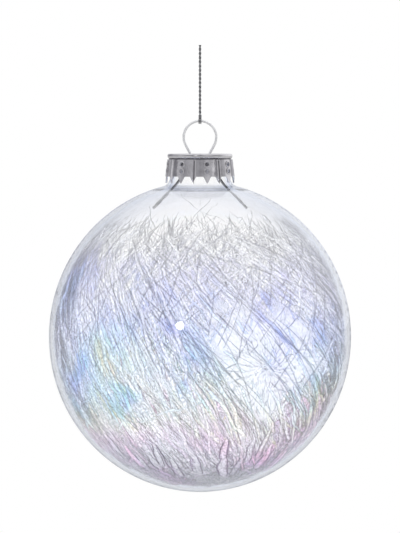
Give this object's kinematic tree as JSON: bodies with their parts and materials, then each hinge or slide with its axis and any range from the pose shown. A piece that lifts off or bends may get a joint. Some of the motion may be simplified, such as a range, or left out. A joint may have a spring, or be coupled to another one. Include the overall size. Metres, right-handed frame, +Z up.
{
  "type": "glass ball ornament",
  "caption": "Clear blown glass ball on a cord, with a crown cap, a spring wire hanger that unclips from the neck, and iridescent film tinsel inside.",
  "frame": {"origin": "hanging point, at the top end of the cord", "axes": "+Z up along the cord, out of the ball through its neck; the hanger ring and its legs lie in the XZ plane; -Y is the front"},
  "size_m": [0.08, 0.08, 0.1181],
  "materials": {
    "clear_glass": "clear gloss",
    "bright_metal": "bright",
    "steel_wire": "drawn wire",
    "metallic_cord": "twisted, silver",
    "iridescent_film": "iridescent, translucent"
  },
  "bodies": {
    "cord": {"hanging_cord": "metallic_cord"},
    "hitch": {"cord_hitch": "metallic_cord"},
    "hanger": {"hanger_ring": "steel_wire"},
    "cap": {"metal_cap": "bright_metal"},
    "ball": {"glass_ball": "clear_glass", "tinsel_swirl": "iridescent_film", "crumpled_film": "iridescent_film"},
    "leg_left": {"spring_leg_left": "steel_wire"},
    "leg_right": {"spring_leg_right": "steel_wire"}
  },
  "joints": [
    {"name": "cord_twist", "type": "hinge", "parent": "cord", "child": "hitch", "pos_m": [0, 0, -0.0185], "axis": [0, 0, 1], "range_deg": [-180, 180]},
    {"name": "ring_swing", "type": "hinge", "parent": "hitch", "child": "hanger", "pos_m": [0, 0, -0.0199], "axis": [1, 0, 0], "range_deg": [-90, 90]},
    {"name": "hanger_rock", "type": "hinge", "parent": "hanger", "child": "cap", "pos_m": [0, 0, -0.02882], "axis": [1, 0, 0], "range_deg": [-5, 5]},
    {"name": "cap_pull", "type": "slide", "parent": "cap", "child": "ball", "axis": [0, 0, -1], "range_m": [0, 0.017]},
    {"name": "leg_left_pinch", "type": "hinge", "parent": "hanger", "child": "leg_left", "pos_m": [-0.00193, 0, -0.0297], "axis": [0, 1, 0], "range_deg": [-42.5, 0]},
    {"name": "leg_right_pinch", "type": "hinge", "parent": "hanger", "child": "leg_right", "pos_m": [0.00193, 0, -0.0297], "axis": [0, 1, 0], "range_deg": [0, 42.5]}
  ],
  "couplings": [
    {"joint": "leg_left_pinch", "follows": "cap_pull", "rad_per_m": -43.633},
    {"joint": "leg_right_pinch", "follows": "cap_pull", "rad_per_m": 43.633}
  ]
}
